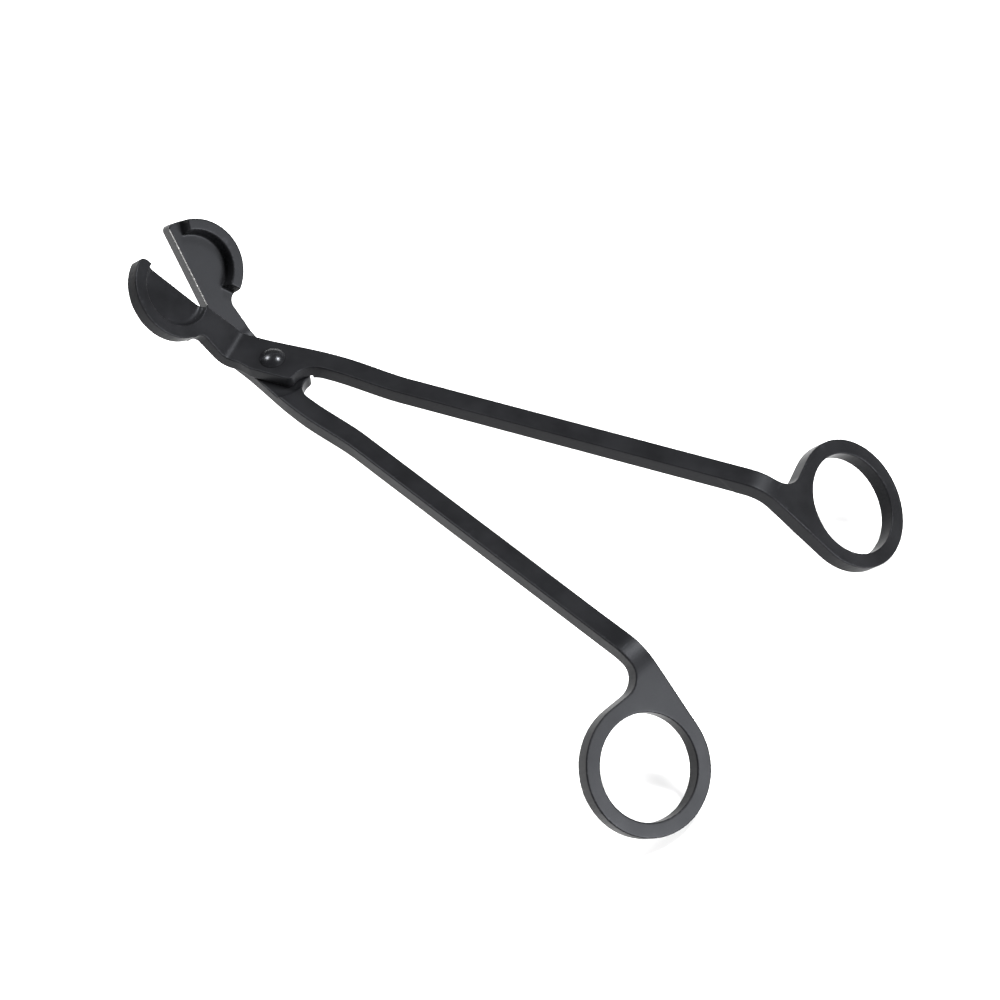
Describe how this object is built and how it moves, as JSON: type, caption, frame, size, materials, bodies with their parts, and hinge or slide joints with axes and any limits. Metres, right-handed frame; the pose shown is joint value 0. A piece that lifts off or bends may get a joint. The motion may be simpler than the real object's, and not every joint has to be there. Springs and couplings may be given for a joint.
{
  "type": "wick trimmer",
  "caption": "Black steel scissor-type candle wick trimmer: crossing arms on a rivet, half-round tray blades angled up, long bars and finger rings angled down.",
  "frame": {"origin": "the middle of the bounding box's base; the two rings' lowest points touch z = 0, and the rivet's axis stands at x = -54.44 mm, y = 0", "axes": "+Z along the rivet towards its domed head; +X from the rivet towards the finger rings, half-way between the arms; +Y towards the upper arm's ring"},
  "size_m": [0.1808, 0.1177, 0.0552],
  "materials": {
    "upper_arm": "satin",
    "lower_arm": "satin",
    "rivet": "semi-gloss"
  },
  "bodies": {
    "lower_half": {"lower_arm": "lower_arm", "rivet": "rivet"},
    "upper_half": {"upper_arm": "upper_arm"}
  },
  "joints": [
    {"name": "rivet_pivot", "type": "hinge", "parent": "lower_half", "child": "upper_half", "pos_m": [-0.05444, 0, 0.02845], "axis": [0, 0, 1], "range_deg": [-22.7, 34.3]}
  ]
}
